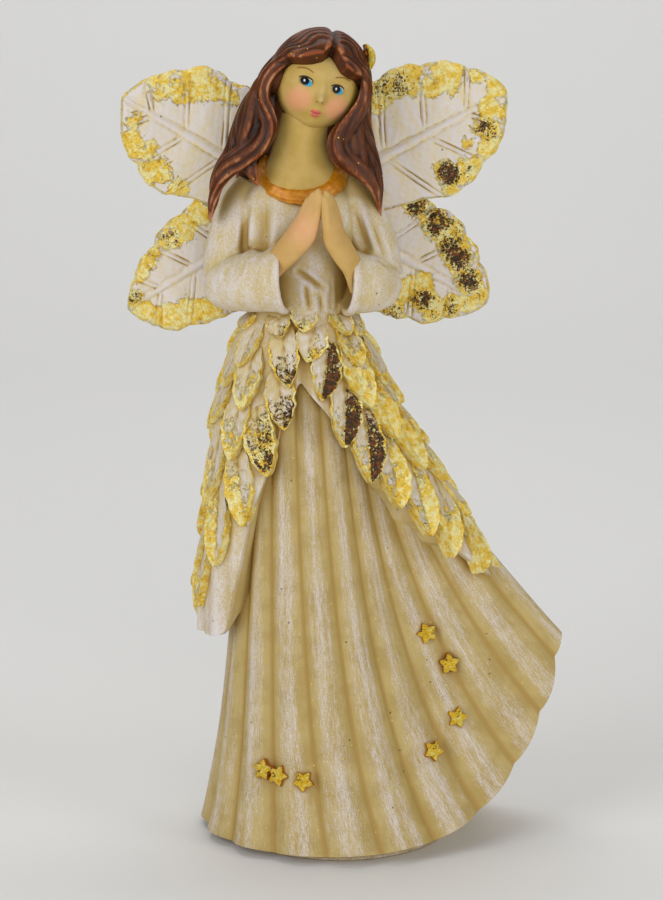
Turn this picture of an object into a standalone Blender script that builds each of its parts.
"""An angel figurine with leaf wings, cast in one piece.

Metres, +Z up, the figure faces -Y, and the origin is the centre of the flat underside of the foot.
The figure is a free form: its places are given in parts of its height, 230 parts from the floor to the
crown, and the sizes that can be set by themselves are the named values in metres below.
Every form is a closed shell. The shells overlap where the casting grows together, a remesh fuses them
into one skin, a decimation keeps the facets that the shape needs, and a cut makes the underside flat.
"""

import math

import bmesh
import bpy
import numpy as np
from mathutils import Matrix, Vector

FIGURE_HEIGHT = 0.230
PARTS_OF_HEIGHT = 230.0

FOOT_RADIUS = 0.0315
FOOT_HEIGHT = 0.0040

HEM_HALF_WIDTH = 0.0405
HEM_HALF_DEPTH = 0.0360
HEM_LIFT = 0.0014
FLARE_REACH = 0.0230
FLARE_RISE = 0.0560
FLARE_SPREAD = math.radians(12.5)
PLEAT_COUNT = 20
PLEAT_SHIFT = 0.546
PLEAT_DEPTH = 0.0027
HEM_THICKNESS = 0.0012

LEAF_WIDTH = 0.0122
LEAF_LENGTH = 0.0190
LEAF_ROW = 0.0132
LEAF_RELIEF = 0.0018

WING_THICKNESS = 0.0034
WING_RIB_RELIEF = 0.0009
WING_RIB_WIDTH = 0.0024
WING_SWEEP = 0.004

STAR_RADIUS = 0.0031
STAR_RELIEF = 0.0013

COLLAR_WIDTH = 0.0056
CAST_VOXEL = 0.00055
CAST_TRIANGLES = 9700

NODE_NAME = "angel_figurine"
RESIN_COLOUR = (0.80, 0.71, 0.52, 1.0)
UNIT = FIGURE_HEIGHT / PARTS_OF_HEIGHT


def place(x, y, z):
    """A point given in parts of the figure's height."""
    return np.array([x, y, z], float) * UNIT


def wrapped(angle):
    """The angle between -pi and pi."""
    return (angle + math.pi) % (2 * math.pi) - math.pi


def smoothstep(low, high, value):
    share = np.clip((value - low) / (high - low), 0, 1)
    return share * share * (3 - 2 * share)


def through(points, count):
    """Points spread along a smooth line through a few given ones."""
    points = np.asarray(points, float)
    if points.ndim == 1:
        points = points[:, None]
    ends = np.vstack([2 * points[0] - points[1], points, 2 * points[-1] - points[-2]])
    at = np.linspace(0, len(points) - 1, count)
    span = np.minimum(at.astype(int), len(points) - 2)
    t = (at - span)[:, None]
    a, b, c, d = (ends[span + k] for k in range(4))
    line = 0.5 * (2 * b + (c - a) * t + (2 * a - 5 * b + 4 * c - d) * t**2 + (3 * b - a - 3 * c + d) * t**3)
    return line[:, 0] if line.shape[1] == 1 else line


def shell(rings):
    """The points and faces of a closed body through rings of equally many points, capped at both ends."""
    rows, sides = rings.shape[:2]
    faces = [
        (i * sides + j, i * sides + (j + 1) % sides, (i + 1) * sides + (j + 1) % sides, (i + 1) * sides + j)
        for i in range(rows - 1)
        for j in range(sides)
    ]
    faces.append(tuple(reversed(range(sides))))
    faces.append(tuple(range((rows - 1) * sides, rows * sides)))
    return rings.reshape(-1, 3), faces


def unit(vectors):
    return vectors / np.maximum(np.linalg.norm(vectors, axis=-1, keepdims=True), 1e-12)


def tube(line, half_width, half_depth, facing, sides=12, ridges=None):
    """A closed tube with an oval section along a line. Its depth points the way it faces.

    Ridges is a function of the share along the line and the turn round it, by which the section grows.
    """
    line = np.asarray(line, float)
    along = unit(np.gradient(line, axis=0))
    facing = np.broadcast_to(np.asarray(facing, float), line.shape)
    depth_axis = unit(facing - along * (facing * along).sum(1, keepdims=True))
    width_axis = np.cross(along, depth_axis)
    turn = np.linspace(0, 2 * math.pi, sides, endpoint=False)
    half_width, half_depth = (np.broadcast_to(h, len(line))[:, None, None] for h in (half_width, half_depth))
    rings = width_axis[:, None] * np.cos(turn)[None, :, None] * half_width
    rings = rings + depth_axis[:, None] * np.sin(turn)[None, :, None] * half_depth
    if ridges is not None:
        rings = rings * ridges(np.linspace(0, 1, len(line))[:, None], turn[None])[..., None]
    return shell(line[:, None] + rings)


def ovals(levels, sides=32, count=4):
    """A closed body of level ovals: each level is x, y and z of its centre, half width and half depth."""
    levels = through(np.asarray(levels, float) * UNIT, count * len(levels))
    turn = np.linspace(0, 2 * math.pi, sides, endpoint=False)
    rings = np.repeat(levels[:, None, :3], sides, axis=1)
    rings[..., 0] += np.cos(turn) * levels[:, 3:4]
    rings[..., 1] += np.sin(turn) * levels[:, 4:5]
    return shell(rings)


# The underskirt: meridians from a small waist oval out to a hem that the wind lifts on one side.

WAIST_CENTRE = place(-11.6, 0, 150)
WAIST_HALF_WIDTH = 15.5 * UNIT
WAIST_HALF_DEPTH = 11.5 * UNIT


def flare(angle):
    """One at the windblown corner of the hem, and near nought away from it."""
    return 1 / (1 + (wrapped(angle) / FLARE_SPREAD) ** 2)


def hem_line(angle):
    lift = flare(angle)
    radius = 1 / np.hypot(np.cos(angle) / HEM_HALF_WIDTH, np.sin(angle) / HEM_HALF_DEPTH)
    radius = radius + FLARE_REACH * (1 - (1 - lift) ** 1.7)
    return np.stack([radius * np.cos(angle), radius * np.sin(angle), HEM_LIFT + FLARE_RISE * lift], -1)


def hem_share(angle):
    """How far round the hem an angle lies, by length, from nought at the windblown corner to one."""
    table = np.linspace(0, 2 * math.pi, 2881)
    steps = np.linalg.norm(np.diff(hem_line(table), axis=0), axis=1)
    length = np.concatenate([[0], np.cumsum(steps)])
    return np.interp(np.asarray(angle) % (2 * math.pi), table, length / length[-1])


def hem_angles(count):
    """Angles that lie evenly along the hem."""
    table = np.linspace(0, 2 * math.pi, 2881)
    shares = hem_share(table[:-1])
    return np.interp(np.arange(count) / count, np.append(shares, 1.0), table)


def skirt_cloth(angle, fall):
    """The unpleated underskirt. Fall is nought at the waist and one at the hem."""
    angle, fall = np.broadcast_arrays(angle, fall)
    waist = WAIST_CENTRE + np.stack(
        [WAIST_HALF_WIDTH * np.cos(angle), WAIST_HALF_DEPTH * np.sin(angle), 0 * angle], -1
    )
    hem = hem_line(angle)
    lift = flare(angle)[..., None]
    bend = waist + (hem - waist) * np.concatenate([0.24 + 0.03 * lift] * 2 + [0.76 - 0.27 * lift], -1)
    fall = fall[..., None]
    return waist * (1 - fall) ** 2 + bend * 2 * fall * (1 - fall) + hem * fall**2


def normals(surface, angle, fall):
    """The unit normals of a surface given as a function of angle and fall."""
    step = 1e-4
    across = surface(angle + step, fall) - surface(angle - step, fall)
    down = surface(angle, fall + step) - surface(angle, fall - step)
    return unit(np.cross(down, across))


def pleat(angle):
    """Nought in a groove and one on a ridge. The grooves lie evenly along the hem."""
    turn = (hem_share(angle) * PLEAT_COUNT + PLEAT_SHIFT) % 1.0
    return np.sin(math.pi * turn**0.9) ** 0.85


def skirt_surface(angle, fall):
    """The pleated underskirt."""
    angle, fall = np.broadcast_arrays(angle, fall)
    depth = PLEAT_DEPTH * (0.25 + 0.75 * fall) * (1 - 0.55 * flare(angle))
    outward = normals(skirt_cloth, angle, fall)
    return skirt_cloth(angle, fall) + outward * ((pleat(angle) - 1) * depth)[..., None]


def skirt():
    angle = hem_angles(PLEAT_COUNT * 12)[None]
    side = skirt_surface(angle, np.linspace(0, 1, 40)[:, None])
    foot_ring = np.stack([FOOT_RADIUS * np.cos(angle[0]), FOOT_RADIUS * np.sin(angle[0]), 0 * angle[0]], -1)
    foot_ring[:, 2] = FOOT_HEIGHT
    share = np.linspace(0, 1, 7)[:, None, None]
    hollow = np.array([0, 0, 1]) * FLARE_RISE * 0.25 * flare(angle)[..., None]
    inner_edge = side[-1] - normals(skirt_cloth, angle[0], np.ones(angle.size)) * HEM_THICKNESS
    under = inner_edge * (1 - share) + foot_ring * share + hollow * np.sin(math.pi * share)
    return shell(np.concatenate([side, under]))


def foot():
    turn = np.linspace(0, 2 * math.pi, 96, endpoint=False)
    radii_and_levels = (
        (FOOT_RADIUS, -FOOT_HEIGHT),
        (FOOT_RADIUS, FOOT_HEIGHT),
        (FOOT_RADIUS * 0.9, FOOT_HEIGHT * 2),
    )
    return shell(
        np.array([[(r * math.cos(a), r * math.sin(a), z) for a in turn] for r, z in radii_and_levels])
    )


# The tunic of leaves: it hangs outside the underskirt and parts in front in an upturned V.
# Each level gives its height, where its left and right sides stand, and its half depth.

TUNIC_LEVELS = (
    (152, -25.6, 3.2, 11.6),
    (145, -28.0, 6.0, 13.2),
    (138, -30.2, 9.5, 14.6),
    (130, -32.6, 13.0, 16.0),
    (120, -35.0, 18.6, 17.8),
    (110, -36.0, 24.6, 19.4),
    (100, -36.9, 30.6, 21.0),
    (90, -38.2, 36.6, 22.6),
    (80, -39.6, 42.4, 24.2),
    (70, -40.2, 46.6, 25.8),
    (58, -40.4, 48.0, 27.0),
)
TUNIC_TOP = 152 * UNIT
TUNIC_HEM = 0.0018

# The tunic's lower edge: its height at each angle in degrees, with the parting at the front.

TUNIC_EDGE = (
    (-180, 59), (-160, 59.5), (-149, 60.5), (-145, 63), (-143, 69), (-136, 84), (-132, 94), (-122, 106),
    (-105, 124), (-93, 134), (-81, 127), (-71, 120), (-63, 110), (-55, 101), (-41, 91), (-28, 81),
    (-12, 76),
    (2, 73.5), (20, 71), (60, 64), (110, 59), (180, 59),
)


def tunic_cloth(angle, fall):
    """The tunic's plain outer side. Fall is the height below its top."""
    angle, fall = np.broadcast_arrays(angle, fall)
    levels = np.array(TUNIC_LEVELS[::-1])
    height = (TUNIC_TOP - fall) / UNIT
    left, right, depth = (np.interp(height, levels[:, 0], levels[:, k]) * UNIT for k in (1, 2, 3))
    share = np.clip(fall / TUNIC_TOP / 0.6, 0, 1)
    narrow = 1 - 0.28 * share * (1 + np.cos(angle)) / 2
    x = (left + right) / 2 + (right - left) / 2 * np.cos(angle)
    return np.stack([x, depth * narrow * np.sin(angle), TUNIC_TOP - fall], -1)


def tunic_normals(angle, fall):
    angle, fall = np.broadcast_arrays(angle, fall)
    across = tunic_cloth(angle + 0.02, fall) - tunic_cloth(angle - 0.02, fall)
    down = tunic_cloth(angle, fall + 3 * UNIT) - tunic_cloth(angle, fall - 3 * UNIT)
    return unit(np.cross(down, across))


def tunic_fall(angle):
    """How far down the tunic reaches at an angle."""
    edge = np.array(TUNIC_EDGE, float)
    fine = np.linspace(-180, 180, 721)
    level = np.interp(fine, edge[:, 0], edge[:, 1])
    level = np.convolve(np.pad(level[:-1], 8, mode="wrap"), np.ones(9) / 9, mode="same")[8:-8]
    return TUNIC_TOP - np.interp(np.degrees(wrapped(angle)), fine, np.append(level, level[0])) * UNIT


def tunic():
    """The cloth under the leaves. Its hem is as thick as TUNIC_HEM, and hollow behind."""
    angle = np.linspace(-math.pi, math.pi, 240, endpoint=False)[None]
    share = np.linspace(0, 1, 30)[:, None]
    fall = tunic_fall(angle) * share
    outward = tunic_normals(angle, fall)
    outer = tunic_cloth(angle, fall) + outward * (0.0007 * np.cos(14 * angle) * share**2)[..., None]
    inner = outer[-1] - outward[-1] * TUNIC_HEM
    behind = np.stack([0.86 * inner[:, 0] - 0.001, 0.78 * inner[:, 1], inner[:, 2] + 0.005], -1)
    core = np.stack([0.3 * inner[:, 0] - 0.006, 0.3 * inner[:, 1], inner[:, 2] + 0.007], -1)
    return shell(np.concatenate([outer, inner[None], behind[None], core[None]]))


def tunic_scales(angle, fall):
    """How far one moves over the tunic for each radian of angle, and for each unit of fall."""
    step = 0.02
    across = np.linalg.norm(tunic_cloth(angle + step, fall) - tunic_cloth(angle - step, fall)) / (2 * step)
    down = np.linalg.norm(tunic_cloth(angle, fall + UNIT) - tunic_cloth(angle, fall - UNIT)) / (2 * UNIT)
    return across, down


def leaf(angle, fall, length, half_width, lean, rows=12, columns=9):
    """One leaf of the tunic, with its stalk end up and its tip at this angle and fall."""
    share = np.linspace(0, 1, rows)[:, None]
    aside = np.linspace(-1, 1, columns)[None]
    outline = half_width * np.maximum(np.sin(math.pi * (0.16 + 0.84 * share) ** 0.9) ** 0.75, 0.03)
    x = outline * aside
    y = (share - 1) * length + 0 * aside
    x, y = x * math.cos(lean) - y * math.sin(lean), x * math.sin(lean) + y * math.cos(lean)
    across, down = tunic_scales(angle, fall)
    angles = angle + x / across
    falls = np.maximum(fall + y / down, -9 * UNIT)
    height = LEAF_RELIEF * (0.10 + 1.10 * share**1.1)
    height = height + half_width * 0.17 * np.abs(aside) * np.sin(math.pi * share) ** 0.6
    height = height - 0.2 * LEAF_RELIEF * np.exp(-((aside / 0.18) ** 2)) * share
    outward = tunic_normals(angles, falls)
    front = tunic_cloth(angles, falls) + outward * height[..., None]
    back = tunic_cloth(angles, falls) - outward * LEAF_RELIEF
    return shell(np.concatenate([front, back[:, ::-1]], axis=1))


# The leaves at the front: the angle in degrees and the height of the stalk end and of the tip, and the
# half width in parts of the height.

FRONT_LEAVES = (
    (-163, 153.5, -155, 146.5, 3.4), (-139, 153.0, -145, 136.5, 3.6), (-163, 147.0, -160, 130.5, 4.2),
    (-117, 158.0, -108, 145.5, 3.9), (-84, 160.5, -87, 147.0, 4.0), (-48, 158.5, -43, 145.5, 3.6),
    (-20, 157.5, -25, 144.5, 3.2), (-72, 153.0, -87, 139.0, 4.9), (-40, 150.5, -43, 137.0, 4.0),
    (-3, 146.5, -22, 130.5, 3.8), (-108, 149.0, -101, 132.0, 4.9), (-136, 142.5, -135, 125.0, 4.6),
    (-163, 134.5, -178, 117.5, 4.4), (-66, 145.0, -80, 128.5, 4.9), (-44, 143.0, -48, 125.5, 5.2),
    (-109, 137.0, -105, 120.5, 4.9), (-140, 130.0, -142, 111.0, 4.6), (-11, 137.5, -22, 124.0, 3.8),
    (-57, 135.5, -74, 115.5, 5.1), (-29, 133.0, -39, 116.5, 4.8), (4, 127.5, -18, 115.0, 4.0),
    (-125, 126.5, -118, 107.5, 5.3), (-157, 121.5, -168, 96.0, 4.6), (-51, 126.5, -67, 105.5, 5.4),
    (-20, 124.0, -30, 107.0, 4.8), (3, 119.5, -12, 102.5, 4.6), (-140, 114.5, -133, 93.0, 5.3),
    (-45, 117.5, -57, 98.0, 5.1), (3, 107.0, -7, 92.0, 4.4), (-34, 111.0, -48, 89.5, 5.1),
    (-157, 102.0, -150, 80.5, 5.0), (-17, 105.5, -42, 83.0, 5.0), (-168, 92.0, -167, 67.0, 4.4),
    (4, 98.0, -28, 77.5, 5.2),
)
FRONT = (math.radians(-176), math.radians(1))


def front_leaves():
    """The angle, fall, length, half width and lean of the leaves placed at the front."""
    for start, start_level, end, end_level, half_width in FRONT_LEAVES:
        angle, fall = math.radians(end), TUNIC_TOP - end_level * UNIT
        across, down = tunic_scales(angle, fall)
        aside = math.radians(start - end) * across
        rise = (start_level - end_level) * UNIT * down
        yield angle, fall, math.hypot(aside, rise), half_width * UNIT, math.atan2(aside, rise)


def leaf_rows():
    """The same for the leaves round the sides and the back, in rows along the tunic's edge."""
    random = np.random.default_rng(7)
    parting = math.radians(-93)
    angle = np.linspace(parting, parting + 2 * math.pi, 721)
    for row in range(9):
        fall = tunic_fall(angle) - (row * LEAF_ROW - 0.0015)
        line = tunic_cloth(angle, fall)
        seen = fall > 3 * UNIT
        steps = np.linalg.norm(np.diff(line, axis=0), axis=1) * seen[1:]
        length = np.concatenate([[0], np.cumsum(steps)])
        count = int(length[-1] / (LEAF_WIDTH * (0.98 - 0.035 * row)))
        for k in range(count):
            at = (k + 0.5 + 0.5 * (row % 2)) / count * length[-1]
            if at > length[-1]:
                continue
            here = np.interp(at, length, angle)
            own_fall = np.interp(here, angle, fall) + random.normal(0, 0.0006)
            size = 1 - 0.3 * smoothstep(0.04, 0.0, own_fall) + random.normal(0, 0.04)
            lean = random.normal(0, 0.10)
            if not FRONT[0] < wrapped(here) < FRONT[1]:
                yield here, own_fall, LEAF_LENGTH * size, 0.56 * LEAF_WIDTH * size, lean


def tunic_leaves():
    return [leaf(*placed) for placed in (*front_leaves(), *leaf_rows())]


# Seven small stars on the skirt, each given by its angle in degrees and its fall.

STARS = ((-126, 0.76), (-117, 0.77), (-103, 0.78), (-19, 0.60), (-17, 0.70), (-21, 0.79), (-33, 0.79))


def star(angle, fall, turn):
    centre = skirt_cloth(angle, fall)
    outward = normals(skirt_cloth, np.asarray(angle), np.asarray(fall))
    side = unit(np.cross(np.array([0.0, 0, 1]), outward))
    up = np.cross(outward, side)
    corners = np.arange(10)
    radius = np.where(corners % 2, 0.58, 1.0) * STAR_RADIUS
    around = corners * math.pi / 5 + turn
    flat = side * (radius * np.sin(around))[:, None] + up * (radius * np.cos(around))[:, None]
    rings = [
        centre + flat * size + outward * height
        for size, height in ((1, -PLEAT_DEPTH), (1, 0.6 * STAR_RELIEF), (0.7, STAR_RELIEF))
    ]
    return shell(np.array(rings))


def stars():
    return [star(math.radians(a), fall, 0.3 * k) for k, (a, fall) in enumerate(STARS)]


# The upper body: torso, puffed sleeves with wide cuffs, and hands laid together.

TORSO = (
    (-11.2, 0, 140, 14, 10.8),
    (-11.2, 0, 151, 14.9, 12.4),
    (-11.3, 0, 156, 14.6, 11.8),
    (-11.4, 0, 161, 15, 11.3),
    (-11.8, -0.5, 171, 17, 12.3),
    (-12, 0, 179, 18, 11.5),
    (-12, 0.5, 185.5, 16, 10),
    (-11.5, 0.5, 190, 10.5, 7.4),
    (-10.5, 0.5, 192.5, 5, 4),
)
NECK = (
    (-10.4, -1, 184, 10.4, 9.0),
    (-10.4, -1.2, 188, 10.0, 8.8),
    (-10.2, -1.6, 192, 7.6, 7.3),
    (-9.9, -2, 196.5, 6.1, 6.2),
    (-9, -2, 201, 5.9, 6.2),
    (-8, -2, 207, 6.4, 6.6),
)
LEFT_UPPER_ARM = ((-24, 0, 187, 4.5), (-27.5, -0.5, 180, 6.4), (-30.2, -2, 170, 7.2), (-31.6, -4, 161, 7))
RIGHT_UPPER_ARM = ((0, 0, 188, 4.5), (4, -0.5, 181, 6.4), (8.4, -2, 171, 7.2), (10.6, -4, 161, 7))
LEFT_SLEEVE = (
    (-37, -3, 158.8, 2.2), (-33.5, -5, 159.2, 6.4), (-26, -9, 160.6, 8.2), (-20, -11, 161.6, 9),
    (-14.6, -12.4, 162, 9.4),
)
RIGHT_SLEEVE = (
    (16, -3, 158.8, 2.2), (12.6, -5, 159.2, 6.2), (7.5, -9, 160.2, 8), (4.5, -11, 160.8, 8.6),
    (1.8, -13, 161, 9),
)
LEFT_HAND = {
    "palm": (
        (-22, -13, 162, 3.0), (-17.4, -16.5, 167.6, 3.0), (-13.6, -18.8, 171.8, 3.3),
        (-10.4, -20, 175.6, 3.5),
        (-8.4, -20.6, 179.5, 3.0),
    ),
    "knuckles": (-9.8, -20.2, 176.5), "tip": (-6.3, -21.4, 187.9), "across": (0.86, -0.50, 0),
}
RIGHT_HAND = {
    "palm": (
        (5.5, -13, 160, 3.0), (3.4, -16.5, 166, 3.0), (0.6, -18.8, 170.4, 3.3), (-1.9, -20, 174.6, 3.3),
        (-2.6, -20.4, 179, 2.6),
    ),
    "knuckles": (-2.1, -20, 175.5), "tip": (-3.9, -21.2, 187.4), "across": (-0.62, -0.78, 0),
}
CUFF_DEPTH = 0.006
CUFF_WALL = 0.0013

# Folds of the cloth: the ends of each, its half width and how deep it is.

FOLDS = (
    ((-20.5, -10, 184), (-21.5, -10, 168), 1.5, 1.6),
    ((-25.5, -7, 181), (-27.0, -7, 168), 0.9, 0.8),
    ((4.0, -9, 181), (7.0, -9, 170), 1.3, 1.5),
    ((8.0, -8, 179), (12.0, -8, 168), 0.9, 0.8),
    ((-11.6, -12, 164), (-4.5, -12, 159), 0.7, 1.2),
)


def limb(stations, depth_share, facing, count=24, sides=16):
    """A limb through stations of x, y, z and half width."""
    stations = through(np.asarray(stations, float) * UNIT, count)
    return tube(stations[:, :3], stations[:, 3], stations[:, 3] * depth_share, facing, sides)


def hollowed(body, sides):
    """The same tube with its far end hollowed out, as a sleeve is round a wrist."""
    rings = body[0].reshape(-1, sides, 3)
    centre = rings[-1].mean(0)
    back = unit(rings[-2].mean(0) - centre)
    radius = np.linalg.norm(rings[-1] - centre, axis=1).mean()
    mouth = centre + (rings[-1] - centre) * (1 - CUFF_WALL / radius)
    inside = centre + (rings[-1] - centre) * (1 - 2 * CUFF_WALL / radius) + back * CUFF_DEPTH
    return shell(np.concatenate([rings, mouth[None], inside[None]]))


def folded(body, sides):
    """The same body with the folds of the cloth pressed into its front."""
    rings = body[0].reshape(-1, sides, 3)
    around = np.roll(rings, -1, axis=1) - np.roll(rings, 1, axis=1)
    outward = unit(np.cross(around, np.gradient(rings, axis=0)))
    from_centre = rings - rings.mean(1, keepdims=True)
    outward = outward * np.sign((outward * from_centre).sum(-1, keepdims=True))
    metric = np.array([1, 0.35, 1])
    for start, end, half_width, depth in FOLDS:
        start, end = place(*start), place(*end)
        along = (end - start) * metric
        share = np.clip(((rings - start) * metric @ along) / (along @ along), 0, 1)
        off = np.linalg.norm((rings - start) * metric - share[..., None] * along, axis=-1) / UNIT
        ends = np.sin(math.pi * (0.1 + 0.8 * share)) ** 0.7
        seen = smoothstep(0.35, -0.1, outward[..., 1])
        rings = rings - outward * (depth * UNIT * np.exp(-((off / half_width) ** 2)) * ends * seen)[..., None]
    return shell(rings)


def hand(shape):
    """A palm and four fingers laid side by side, the outermost a little shorter."""
    across = unit(np.array(shape["across"], float))
    knuckles, tip = np.array(shape["knuckles"], float), np.array(shape["tip"], float)
    up = unit(tip - knuckles)
    made = [limb(shape["palm"], 0.66, np.cross(across, up))]
    for offset, reach in ((-2.5, 0.80), (-0.85, 0.93), (0.85, 1.0), (2.4, 0.90)):
        base = knuckles - up * 2.4 + across * offset * 0.85
        end = knuckles + (tip - knuckles) * reach + across * offset * 0.42
        line = [(*base, 0.9), (*(base * 0.6 + end * 0.4), 1.32), (*(base * 0.25 + end * 0.75), 1.2),
                (*(base * 0.06 + end * 0.94), 0.9), (*end, 0.25)]
        made.append(limb(line, 0.95, across, 20, 12))
    return made


def upper_body():
    forward, up = (0, -1, 0), (0, 0, 1)
    return [
        folded(ovals(TORSO, 96, 8), 96),
        ovals(NECK, 32),
        folded(limb(LEFT_UPPER_ARM, 0.9, forward, 36, 40), 40),
        folded(limb(RIGHT_UPPER_ARM, 0.9, forward, 36, 40), 40),
        hollowed(limb(LEFT_SLEEVE, 1.0, up, 36, 40), 40),
        hollowed(limb(RIGHT_SLEEVE, 1.0, up, 36, 40), 40),
        *hand(LEFT_HAND),
        *hand(RIGHT_HAND),
    ]


def collar():
    """A band round the neck opening, lower in front than behind."""
    turn = np.linspace(0, 2 * math.pi, 97)
    line = place(-10.6, -0.6, 190.9) + np.stack(
        [11.0 * np.cos(turn), 9.7 * np.sin(turn), 5.3 * np.sin(turn) + 0.6 * np.cos(2 * turn)], -1
    ) * UNIT
    outward = np.stack([0.62 * np.cos(turn), 0.95 * np.sin(turn), 0.55 + 0 * turn], -1)
    return tube(line, COLLAR_WIDTH / 2, COLLAR_WIDTH / 4.2, outward, 16)


# The head leans to its left. Its places are in its own frame, with x to the right and -y to the front.

HEAD_FRAME = (
    Matrix.Translation(Vector(place(-6.5, -3.2, 213.8)))
    @ Matrix.Rotation(math.radians(15.5), 4, "Y")
    @ Matrix.Rotation(math.radians(8.0), 4, "Z")
)
HEAD_RADII = np.array([11.8, 11.2, 11.8])
SKULL_RADII = np.array([14.2, 13.6, 15.4])


def from_head(points):
    """Points of the head's own frame, in parts of the height, put where the head is."""
    matrix = np.array(HEAD_FRAME)
    return np.asarray(points, float) * UNIT @ matrix[:3, :3].T + matrix[:3, 3]


def directions(rows, sides):
    """Unit directions over a ball, row by row from below to above."""
    down = np.linspace(0.02, math.pi - 0.02, rows)[:, None]
    turn = np.linspace(0, 2 * math.pi, sides, endpoint=False)[None]
    return np.stack([np.sin(down) * np.cos(turn), np.sin(down) * np.sin(turn), -np.cos(down) + 0 * turn], -1)


def bump(points, centre, size):
    """A smooth rise of one at a centre, as wide as size says along x and z, on the front of the head."""
    x, z = (points[..., 0] - centre[0]) / size[0], (points[..., 2] - centre[1]) / size[1]
    return np.exp(-x * x - z * z) * (points[..., 1] < 0)


# The rises and hollows of the face: how far each stands out, its centre and its size along x and z.

FACE_FORMS = (
    (2.0, (0, -2.1), (1.15, 1.3)),
    (0.9, (0, 0.2), (0.95, 2.6)),
    (-0.9, (-4.6, 2.0), (2.5, 1.7)),
    (-0.9, (4.2, 2.0), (2.5, 1.7)),
    (0.6, (-4.7, 1.3), (1.7, 1.05)),
    (0.6, (4.2, 1.3), (1.7, 1.05)),
    (0.85, (0, -6.0), (1.9, 1.25)),
    (1.1, (0, -9.6), (2.6, 1.7)),
    (0.6, (-5.4, -3.6), (2.8, 2.6)),
    (0.6, (5.4, -3.6), (2.8, 2.6)),
)


def head_surface(way):
    points = way * HEAD_RADII
    below = np.clip(-points[..., 2] / HEAD_RADII[2], 0, 1)
    points[..., 0] *= 1 - 0.20 * below**2
    points[..., 1] *= 1 - 0.08 * below**2
    points[..., 1] -= sum(height * bump(points, centre, size) for height, centre, size in FACE_FORMS)
    return points


def head():
    return shell(from_head(head_surface(directions(72, 96))))


# The hairline over the face: x and z in the head's own frame.

HAIRLINE = (
    (-12.9, -6.0), (-12.7, -2.0), (-12.0, 1.5), (-10.2, 4.4), (-7.5, 5.3), (-5.3, 6.2), (-3.0, 7.6),
    (-0.9, 10.0),
    (1.2, 8.0), (3.5, 5.9), (6.5, 5.2), (9.2, 4.8), (11.6, 2.0), (12.8, -6.0),
)


def hair_cap():
    """The hair over the skull, parted in the middle and combed to both sides, open over the face."""
    way = directions(110, 160)
    points = way * SKULL_RADII
    x, y, z = (points[..., k] for k in range(3))
    line = np.array(HAIRLINE)
    above = z * 0.90 - np.interp(x * 0.90, line[:, 0], line[:, 1])
    side = np.abs(x) - 12.7
    hair = np.maximum(smoothstep(-0.3, 0.6, above), smoothstep(-0.3, 0.5, side))
    hair = np.where(y < 0, hair, 1.0)
    lateral = x + 0.8 - 0.8 * smoothstep(0, -12, y)
    along = np.arctan2(-y, z + 1.5)
    wave = 0.10 * np.sin(0.45 * np.abs(lateral)) + 0.05 * np.sin(1.1 * z)
    combed = 1 - 2 * np.abs(np.sin(19 * (along + wave) + 1.1 * np.sin(3 * along))) ** 0.8
    parting = np.exp(-((lateral / 0.7) ** 2)) * (z > 0)
    grow = -0.022 * combed * smoothstep(0.3, 2.5, np.abs(lateral)) - 0.055 * parting
    inner = way * (HEAD_RADII - 1.6)
    points = inner + (points * (1.01 + grow)[..., None] - inner) * hair[..., None]
    points[..., 2] += 0.3
    return shell(from_head(points))


# Locks of hair: the number of their ridges, how these are turned, and x, y, z of the line and half width.

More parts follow.
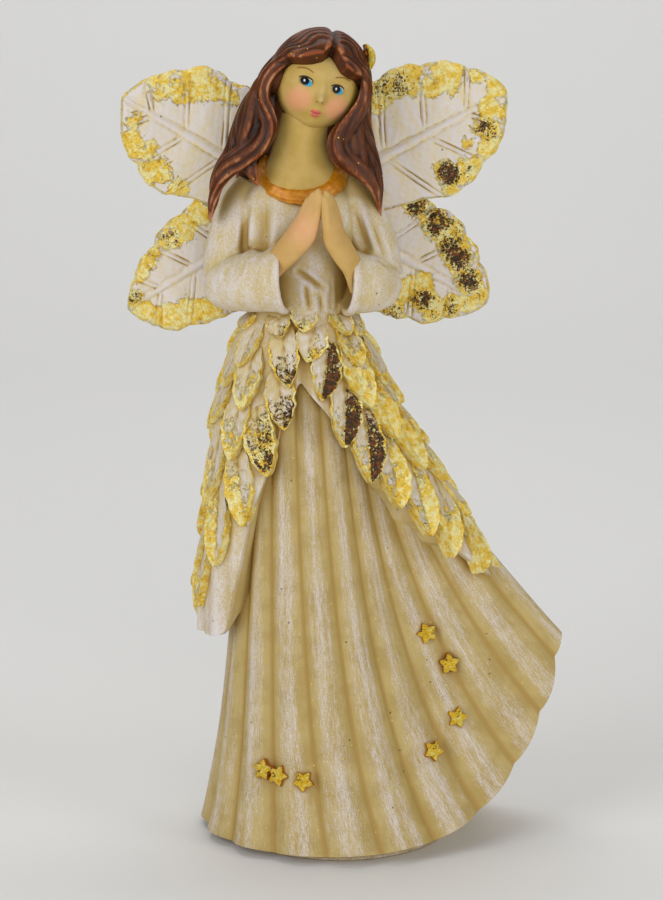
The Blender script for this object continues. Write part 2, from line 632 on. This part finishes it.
LOCKS = (
    (3, 1.0, (
        (-8.5, -8.6, 223.6, 0.8), (-13.8, -9.0, 222.0, 1.6), (-17.9, -9.5, 219.4, 2.0),
        (-20.6, -9.5, 215.4, 2.1), (-21.3, -9.5, 211.3, 2.3), (-20.4, -9.8, 207.2, 2.6),
        (-20.0, -10.2, 203.4, 2.8), (-22.2, -10.4, 199.3, 3.1), (-26.2, -10.4, 196.0, 3.3),
        (-30.3, -10.2, 193.0, 3.1), (-33.0, -9.8, 189.5, 2.6), (-34.2, -9.5, 186.2, 2.0),
        (-35.3, -9.5, 182.1, 1.4), (-36.0, -9.2, 177.0, 0.3))),
    (2, 2.2, (
        (-17.6, -6.0, 220.8, 1.4), (-21.6, -7.0, 214.8, 2.6), (-24.4, -7.5, 209.5, 2.8),
        (-26.1, -7.8, 205.1, 2.8), (-26.6, -8.2, 201.2, 2.9), (-26.4, -8.8, 197.4, 2.9),
        (-25.3, -9.6, 193.8, 2.5), (-24.0, -10.8, 190.6, 1.7),
        (-22.6, -11.2, 187.4, 0.4))),
    (3, 0.4, (
        (-20.0, -3, 217.6, 1.6), (-25.0, -4, 209.0, 2.8), (-27.8, -4.5, 202.4, 2.8),
        (-29.4, -5, 197.2, 2.8), (-32.0, -5.5, 192.5, 2.8), (-34.2, -6, 188.0, 2.2),
        (-34.8, -6.5, 183.0, 1.5), (-35.9, -7, 177.5, 0.3))),
    (2, 1.3, (
        (3.4, -8.0, 219.8, 0.9), (6.3, -8.2, 217.0, 1.5), (7.0, -8.6, 213.7, 1.8), (6.1, -9.0, 209.7, 2.1),
        (3.7, -9.4, 206.1, 2.4), (0.9, -9.8, 202.5, 2.7), (-0.6, -10.2, 199.3, 2.9), (0.2, -10.4, 196.0, 2.9),
        (3.0, -10.2, 193.3, 2.7), (6.4, -9.6, 190.5, 2.3), (9.2, -9, 186.7, 1.6), (10.5, -8.8, 182.6, 0.9),
        (11.2, -8.6, 178.6, 0.3))),
    (3, 0.0, (
        (4.0, -2, 223.0, 1.8), (6.2, -3, 218.4, 2.4), (6.2, -4, 212.5, 2.4), (5.4, -4.5, 207.0, 2.6),
        (6.0, -5, 202.1, 2.9), (7.2, -5, 198.0, 2.9), (8.2, -5, 193.9, 2.9), (9.3, -5, 189.7, 2.6),
        (10.3, -5, 185.6, 1.8), (11.1, -5, 179.4, 0.3))),
    (2, 2.6, (
        (5.4, -6.5, 210.0, 1.4), (4.1, -7.5, 204.0, 2.5), (4.2, -8, 199.1, 2.7), (5.2, -8, 195.3, 2.7),
        (6.8, -8, 191.5, 2.4), (8.8, -7.8, 187.6, 1.6), (10.3, -7.5, 183.4, 0.3))),
)

# The hair down the back, as level ovals.

MANE = (
    (-7, 1.5, 226, 7, 7), (-8, 3, 217, 14, 11), (-9, 4.5, 208, 17, 10.5), (-10, 6.5, 198, 18.5, 9),
    (-10.5, 8.5, 189, 18, 7.6), (-10.5, 10.5, 180, 14.5, 6.4), (-10.5, 12, 172, 8, 4.6),
    (-10.5, 12.6, 167, 1, 0.8),
)


def mane():
    levels = through(np.array(MANE, float) * UNIT, 60)
    turn = np.linspace(0, 2 * math.pi, 120, endpoint=False)[None]
    rings = np.repeat(levels[:, None, :3], turn.size, axis=1)
    wave = 0.35 * np.sin(9 * np.linspace(0, 1, len(levels))[:, None] + 1.5)
    strand = np.abs(np.sin(11 * turn + 5 * wave)) ** 0.7
    grooves = 0.95 + 0.09 * strand + 0.05 * np.cos(7 * turn + 9 * wave)
    rings[..., 0] += np.cos(turn) * levels[:, 3:4] * grooves
    rings[..., 1] += np.sin(turn) * levels[:, 4:5] * grooves
    return shell(rings)


def hair_locks():
    made = []
    for count, phase, stations in LOCKS:
        line = through(np.asarray(stations, float) * UNIT, 70)
        away = line[:, :3] - place(-6, 4, 0)
        away[:, 2] = 0

        def combed(share, turn, count=count, phase=phase):
            strand = np.abs(np.sin(count * turn + phase + 2.2 * np.sin(6 * share + phase)))
            return 0.84 + 0.26 * strand**0.7 * smoothstep(0, 0.15, share)

        made.append(tube(line[:, :3], line[:, 3], line[:, 3] * 0.74, away, 36, combed))
    return made


def hair_ornament():
    """A small curled leaf that stands off the hair over the left temple, with a bud behind it."""
    leaf_line = (
        (7.4, -3, 225.6, 0.3), (9.3, -3.6, 223.9, 1.1), (9.7, -3.8, 221.6, 1.3), (8.6, -3.6, 219.4, 1.0),
        (7.2, -3, 217.6, 0.3),
    )
    bud_line = ((6.4, -2, 225.4, 0.4), (7.3, -2.4, 223.4, 1.2), (7.3, -2.4, 220.6, 1.2), (6.4, -2, 218.4, 0.4))
    made = []
    for line, depth in ((leaf_line, 0.9), (bud_line, 1.2)):
        line = through(np.array(line) * UNIT, 14)
        made.append(tube(line[:, :3], line[:, 3], depth * line[:, 3], (0, -1, 0), 12))
    return made


# The wings: four broad leaves. Each has a root, a tip, where its upper and lower edges leave the back,
# and three pairs of side veins: the share of the midrib where they start, and where they meet the edge.

WINGS = (
    {
        "root": (-12, 181), "tip": (-61.6, 209.8), "back": 12.0,
        "starts": ((-14, 203), (-16, 172)),
        "veins": (
            (0.42, (-31.2, 213.9), (-48.6, 182.4)),
            (0.63, (-42.7, 217.3), (-57.5, 190.8)),
            (0.82, (-54.5, 214.8), (-61.9, 200.5)),
        ),
        "bulges": ((2.2, 2.4, 0.7, 0.4), (-1.0, 1.9, 1.3, 0.3)),
    },
    {
        "root": (-12, 180), "tip": (-61.0, 149.0), "back": 14.2,
        "starts": ((-22, 188), (-14, 158)),
        "veins": (
            (0.42, (-45.2, 176.2), (-31.2, 148.2)),
            (0.60, (-53.1, 167.3), (-43.3, 144.6)),
            (0.80, (-58.8, 158.4), (-52.2, 144.1)),
        ),
        "bulges": ((3.0, 1.8, 1.2, 0.7), (1.0, 0.9, 1.5, 1.0)),
    },
    {
        "root": (-11, 181), "tip": (46.9, 211.3), "back": 12.0,
        "starts": ((-7, 203), (-4, 172)),
        "veins": (
            (0.40, (11.0, 214.6), (29.2, 181.6)),
            (0.60, (22.5, 218.3), (40.3, 191.3)),
            (0.80, (35.7, 217.6), (46.4, 201.3)),
        ),
        "bulges": ((1.6, 1.9, 1.8, 1.6), (-1.2, 2.0, 1.4, 0.4)),
    },
    {
        "root": (-11, 180), "tip": (42.0, 150.6), "back": 14.2,
        "starts": ((0, 190), (-8, 158)),
        "veins": (
            (0.42, (27.4, 178.0), (11.6, 148.4)),
            (0.60, (35.9, 169.9), (19.7, 146.8)),
            (0.80, (39.7, 162.5), (30.0, 146.7)),
        ),
        "bulges": ((3.0, 2.3, 1.5, 1.8), (1.2, 1.0, 1.9, 1.4)),
    },
)


def edge(corners, bulges, shares, wanted):
    """Points of one edge of a wing: between two veins it bows out like the lobe of a leaf."""
    points = []
    for share in wanted:
        k = min(int(np.searchsorted(shares, share, side="right")) - 1, len(shares) - 2)
        t = (share - shares[k]) / (shares[k + 1] - shares[k])
        a, b = corners[k], corners[k + 1]
        chord = b - a
        out = np.array([chord[1], -chord[0]]) / np.linalg.norm(chord)
        points.append(a + chord * t + out * bulges[k] * (4 * t * (1 - t)) ** 0.7)
    return np.array(points)


def wing(shape, rows=73, columns=9):
    root, tip = np.array(shape["root"], float), np.array(shape["tip"], float)
    shares = np.array([0.0] + [vein[0] for vein in shape["veins"]] + [1.0])
    share = np.linspace(0, 1, rows)
    mid = root + (tip - root) * share[:, None]
    mirror = 1.0 if tip[0] > root[0] else -1.0
    halves = []
    for side in (0, 1):
        corners = [np.array(shape["starts"][side], float)]
        corners += [np.array(vein[1 + side], float) for vein in shape["veins"]] + [tip]
        turn = -mirror if side == 0 else mirror
        halves.append(edge(corners, [turn * b for b in shape["bulges"][side]], shares, share))
    across = np.linspace(0, 1, columns)
    upper = mid[:, None] + (halves[0] - mid)[:, None] * across[None, ::-1, None]
    lower = mid[:, None] + (halves[1] - mid)[:, None] * across[None, 1:, None]
    flat = np.concatenate([upper, lower], axis=1)
    aside = np.abs(np.concatenate([-across[::-1], across[1:]]))[None]
    from_mid = aside * np.linalg.norm(flat[:, [0, -1]] - mid[:, None], axis=2).mean(1)[:, None]
    near_vein = np.abs(share[:, None] - shares[None, 1:-1]).min(1)[:, None] * np.linalg.norm(tip - root)
    rib = np.exp(-((from_mid * UNIT / (WING_RIB_WIDTH / 2)) ** 2))
    vein = 0.7 * np.exp(-((near_vein * UNIT / (WING_RIB_WIDTH / 3)) ** 2)) * (aside > 0)
    rim = 0.5 * WING_THICKNESS * (1 - 0.55 * aside**8)
    front = rim + WING_RIB_RELIEF * np.maximum(rib, vein) * (1 - aside**6)
    level = shape["back"] * UNIT + WING_SWEEP * share[:, None] + 0 * aside

    def at(depth):
        return np.stack([flat[..., 0] * UNIT, depth, flat[..., 1] * UNIT], -1)

    return shell(np.concatenate([at(level - front), at(level + rim)[:, ::-1]], axis=1))


def wings():
    return [wing(shape) for shape in WINGS]


def joined(shells):
    """One mesh of all the shells, each with its faces turned outwards."""
    points, faces, start = [], [], 0
    for own_points, own_faces in shells:
        points.append(own_points)
        faces += [tuple(start + i for i in face) for face in own_faces]
        start += len(own_points)
    mesh = bpy.data.meshes.new(NODE_NAME)
    mesh.from_pydata(np.concatenate(points).tolist(), [], faces)
    body = bmesh.new()
    body.from_mesh(mesh)
    bmesh.ops.recalc_face_normals(body, faces=body.faces)
    body.to_mesh(mesh)
    body.free()
    return mesh


def evaluated(item):
    """The mesh of an object with its modifiers applied."""
    bpy.context.view_layer.update()
    graph = bpy.context.evaluated_depsgraph_get()
    return bpy.data.meshes.new_from_object(item.evaluated_get(graph))


def cast(item):
    """Fuses the shells of an object into one skin with as few triangles as its shape needs."""
    remesh = item.modifiers.new("fuse", "REMESH")
    remesh.mode = "VOXEL"
    remesh.voxel_size = CAST_VOXEL
    item.data = evaluated(item)
    item.modifiers.clear()
    smooth = item.modifiers.new("settle", "SMOOTH")
    smooth.factor = 0.4
    smooth.iterations = 1
    item.data = evaluated(item)
    item.modifiers.clear()
    quads = len(item.data.polygons)
    decimate = item.modifiers.new("facets", "DECIMATE")
    decimate.ratio = CAST_TRIANGLES / (2 * quads)
    item.data = evaluated(item)
    item.modifiers.clear()


def cut_flat(mesh):
    """Cuts the casting off at the floor and closes the cut with one flat face."""
    body = bmesh.new()
    body.from_mesh(mesh)
    everything = body.verts[:] + body.edges[:] + body.faces[:]
    cut = bmesh.ops.bisect_plane(
        body, geom=everything, plane_co=(0, 0, 0), plane_no=(0, 0, -1), clear_outer=True, dist=1e-6
    )
    rim = [edge for edge in cut["geom_cut"] if isinstance(edge, bmesh.types.BMEdge)]
    bmesh.ops.contextual_create(body, geom=rim)
    bmesh.ops.recalc_face_normals(body, faces=body.faces)
    body.to_mesh(mesh)
    body.free()


def painted_resin():
    material = bpy.data.materials.new("painted_resin")
    material.use_nodes = True
    shader = material.node_tree.nodes["Principled BSDF"]
    shader.inputs["Base Color"].default_value = RESIN_COLOUR
    shader.inputs["Roughness"].default_value = 0.55
    shader.inputs["Metallic"].default_value = 0.0
    return material


def main():
    for item in list(bpy.data.objects):
        bpy.data.objects.remove(item)
    shells = [skirt(), foot(), tunic(), collar(), head(), hair_cap(), mane()]
    shells += upper_body() + hair_locks() + hair_ornament() + wings() + tunic_leaves() + stars()
    item = bpy.data.objects.new(NODE_NAME, joined(shells))
    bpy.context.scene.collection.objects.link(item)
    cast(item)
    cut_flat(item.data)
    item.data.materials.clear()
    item.data.materials.append(painted_resin())


main()
